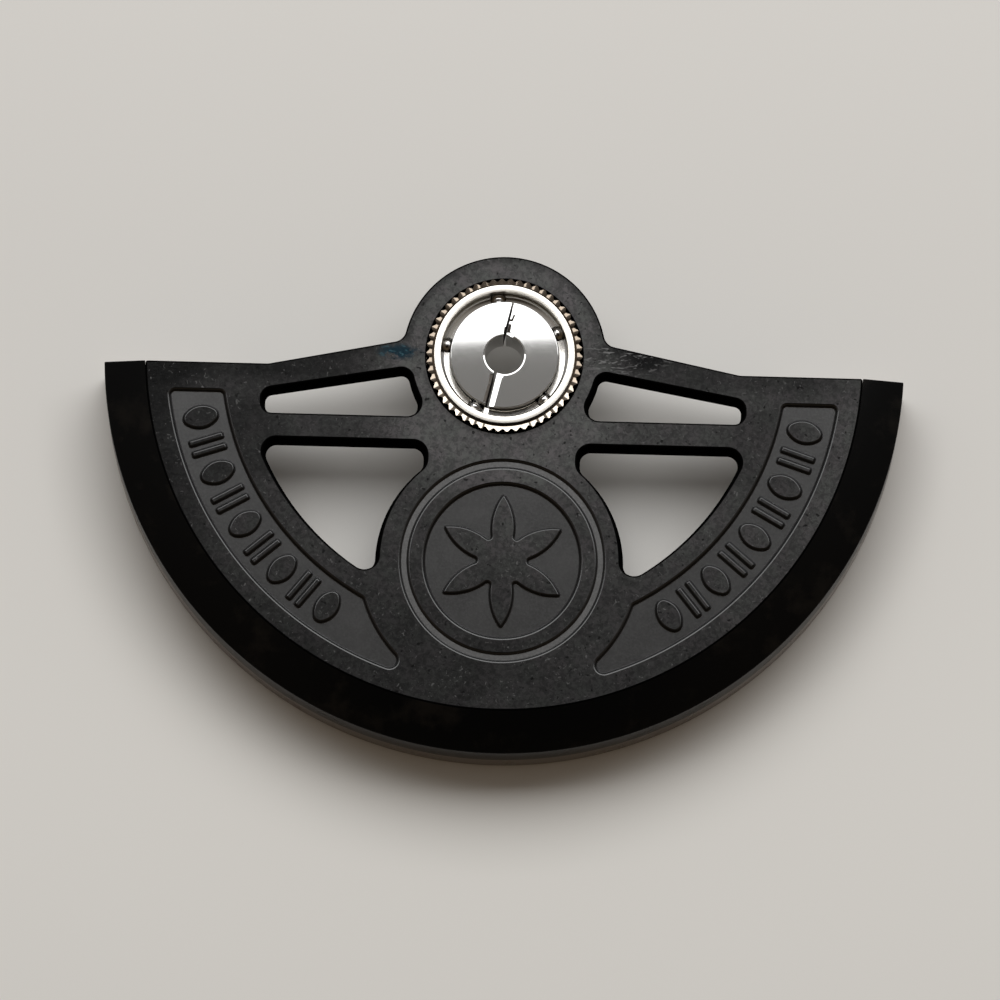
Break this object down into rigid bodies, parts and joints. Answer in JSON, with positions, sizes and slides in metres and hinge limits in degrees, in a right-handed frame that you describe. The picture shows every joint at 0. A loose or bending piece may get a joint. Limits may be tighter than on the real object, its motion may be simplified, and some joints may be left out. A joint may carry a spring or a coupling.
{
  "type": "automatic watch rotor",
  "caption": "Half-round oscillating weight: pierced plate with a heavy bevelled rim, turning on a small ball bearing with a split inner ring.",
  "frame": {"origin": "on the bearing's axis, at the seat face under the inner ring", "axes": "+Z along the bearing's axis, away from the movement; the weight lies towards -Y; +X along the chord, to the right as seen from above"},
  "size_m": [0.027, 0.0169, 0.0035],
  "materials": {
    "plate_coating": "fine blasted dark grey coating",
    "rim_coating": "smooth black coating",
    "outer_ring_steel": "polished steel",
    "inner_ring_steel": "polished steel",
    "cage_steel": "bright stamped steel",
    "ball_steel": "polished steel"
  },
  "bodies": {
    "inner_ring": {"inner_ring_left": "inner_ring_steel", "inner_ring_right": "inner_ring_steel"},
    "rotor": {"carrier_plate": "plate_coating", "rim_weight": "rim_coating", "bearing_outer_ring": "outer_ring_steel"},
    "cage": {"ball_cage": "cage_steel"},
    "ball_1": {"ball_1": "ball_steel"},
    "ball_2": {"ball_2": "ball_steel"},
    "ball_3": {"ball_3": "ball_steel"},
    "ball_4": {"ball_4": "ball_steel"},
    "ball_5": {"ball_5": "ball_steel"}
  },
  "joints": [
    {"name": "rotor_spin", "type": "hinge", "parent": "inner_ring", "child": "rotor", "pos_m": [0, 0, 0], "axis": [0, 0, 1], "continuous": true},
    {"name": "cage_spin", "type": "hinge", "parent": "inner_ring", "child": "cage", "pos_m": [0, 0, 0], "axis": [0, 0, 1], "continuous": true},
    {"name": "ball_1_spin", "type": "hinge", "parent": "cage", "child": "ball_1", "pos_m": [0.00179, 0.00085, 0.00135], "axis": [0, 0, 1], "continuous": true},
    {"name": "ball_2_spin", "type": "hinge", "parent": "cage", "child": "ball_2", "pos_m": [-0.00026, 0.00196, 0.00135], "axis": [0, 0, 1], "continuous": true},
    {"name": "ball_3_spin", "type": "hinge", "parent": "cage", "child": "ball_3", "pos_m": [-0.00195, 0.00036, 0.00135], "axis": [0, 0, 1], "continuous": true},
    {"name": "ball_4_spin", "type": "hinge", "parent": "cage", "child": "ball_4", "pos_m": [-0.00094, -0.00174, 0.00135], "axis": [0, 0, 1], "continuous": true},
    {"name": "ball_5_spin", "type": "hinge", "parent": "cage", "child": "ball_5", "pos_m": [0.00136, -0.00144, 0.00135], "axis": [0, 0, 1], "continuous": true}
  ],
  "couplings": [
    {"joint": "cage_spin", "follows": "rotor_spin", "ratio": 0.56944},
    {"joint": "ball_1_spin", "follows": "rotor_spin", "ratio": 3.5306},
    {"joint": "ball_2_spin", "follows": "rotor_spin", "ratio": 3.5306},
    {"joint": "ball_3_spin", "follows": "rotor_spin", "ratio": 3.5306},
    {"joint": "ball_4_spin", "follows": "rotor_spin", "ratio": 3.5306},
    {"joint": "ball_5_spin", "follows": "rotor_spin", "ratio": 3.5306}
  ]
}
